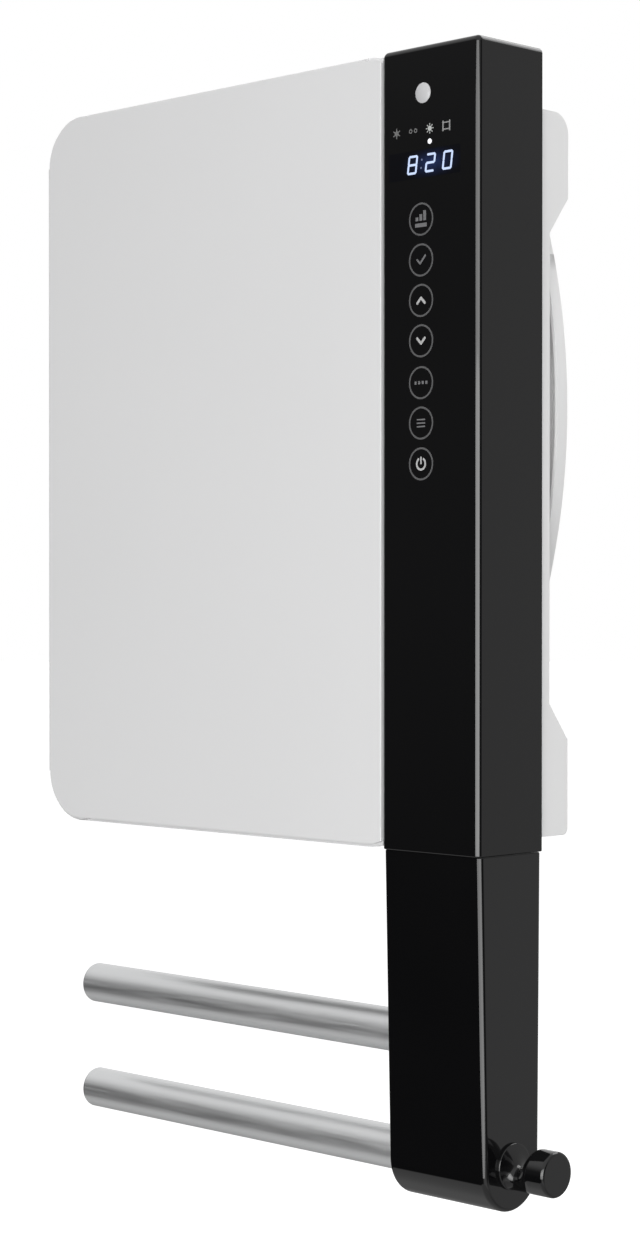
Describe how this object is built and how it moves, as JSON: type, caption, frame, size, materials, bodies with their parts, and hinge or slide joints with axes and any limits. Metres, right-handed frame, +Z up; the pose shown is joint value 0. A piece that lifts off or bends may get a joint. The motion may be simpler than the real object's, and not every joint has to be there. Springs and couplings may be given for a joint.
{
  "type": "bathroom wall fan heater",
  "caption": "Slim wall-hung fan heater with a light rounded panel, a black touch-control column that carries two towel rails and a robe hook, and a warm-air outlet underneath.",
  "frame": {"origin": "centre of the wall bracket's four fixing holes, on the wall plane", "axes": "+X to the right as seen from the room, +Y towards the wall, +Z up"},
  "size_m": [0.4161, 0.0809, 0.6631],
  "materials": {
    "panel": "satin light grey moulding",
    "gloss_black": "gloss black",
    "graphite": "black, half gloss",
    "casing": "fine-grained white moulding",
    "steel": "zinc-plated sheet",
    "rail": "satin anodised",
    "dark_resin": "matt black moulding",
    "heat_resin": "cream heat-proof resin",
    "board": "green circuit board",
    "copper": "enamelled copper",
    "fins": "plain aluminium",
    "sensor": "translucent grey dome",
    "light_guide": "clear white",
    "display": "smoked window",
    "hook_black": "gloss black lacquer",
    "lead_sleeve": "red sleeve",
    "capacitor": "yellow film",
    "rocker": "black rocker"
  },
  "bodies": {
    "heater_body": {"front_panel": "panel", "fascia": "gloss_black", "column_shell": "graphite", "column_lower_shell": "gloss_black", "column_lower_cover": "graphite", "column_spine": "steel", "back_plate": "casing", "rear_casing": "casing", "casing_feet": "casing", "intake_cowl": "casing", "intake_ring": "casing", "inlet_guard": "dark_resin", "dust_filter": "dark_resin", "fan_scroll": "heat_resin", "scroll_cover": "heat_resin", "motor_stator": "copper", "motor_case": "fins", "motor_bushes": "copper", "motor_screws": "steel", "outlet_duct": "heat_resin", "heater_frame": "heat_resin", "heater_fins": "fins", "heater_bars": "steel", "thermal_cutouts": "dark_resin", "outlet_grille": "dark_resin", "power_board": "board", "relays": "dark_resin", "capacitors": "capacitor", "triac_heat_sink": "fins", "terminal_block": "heat_resin", "cable_gland": "dark_resin", "cable_clamp": "heat_resin", "earth_stud": "copper", "control_board": "board", "display_module": "display", "touch_pads": "steel", "indicator_light": "light_guide", "presence_sensor": "sensor", "ribbon_cable": "lead_sleeve", "heater_leads": "lead_sleeve", "towel_rail_upper": "rail", "towel_rail_lower": "rail", "rail_end_caps": "rail", "rail_plugs": "steel", "rail_screw": "steel", "hook_stud": "steel", "stud_nut": "steel", "robe_hook": "hook_black", "wall_bracket": "steel", "lower_clip": "steel", "locking_screw": "steel", "panel_screws": "steel", "casing_screws": "steel", "spine_screws": "steel", "scroll_screws": "steel", "switch_body": "dark_resin"},
    "fan_rotor": {"fan_impeller": "dark_resin", "motor_shaft": "steel", "motor_rotor": "steel"},
    "rocker": {"switch_rocker": "rocker"}
  },
  "joints": [
    {"name": "fan_spin", "type": "hinge", "parent": "heater_body", "child": "fan_rotor", "pos_m": [-0.06, -0.05, -0.13814], "axis": [0, 1, 0], "continuous": true},
    {"name": "rocker_tilt", "type": "hinge", "parent": "heater_body", "child": "rocker", "pos_m": [-0.1868, -0.05275, -0.302], "axis": [0, 1, 0], "range_deg": [-22, 0]}
  ]
}
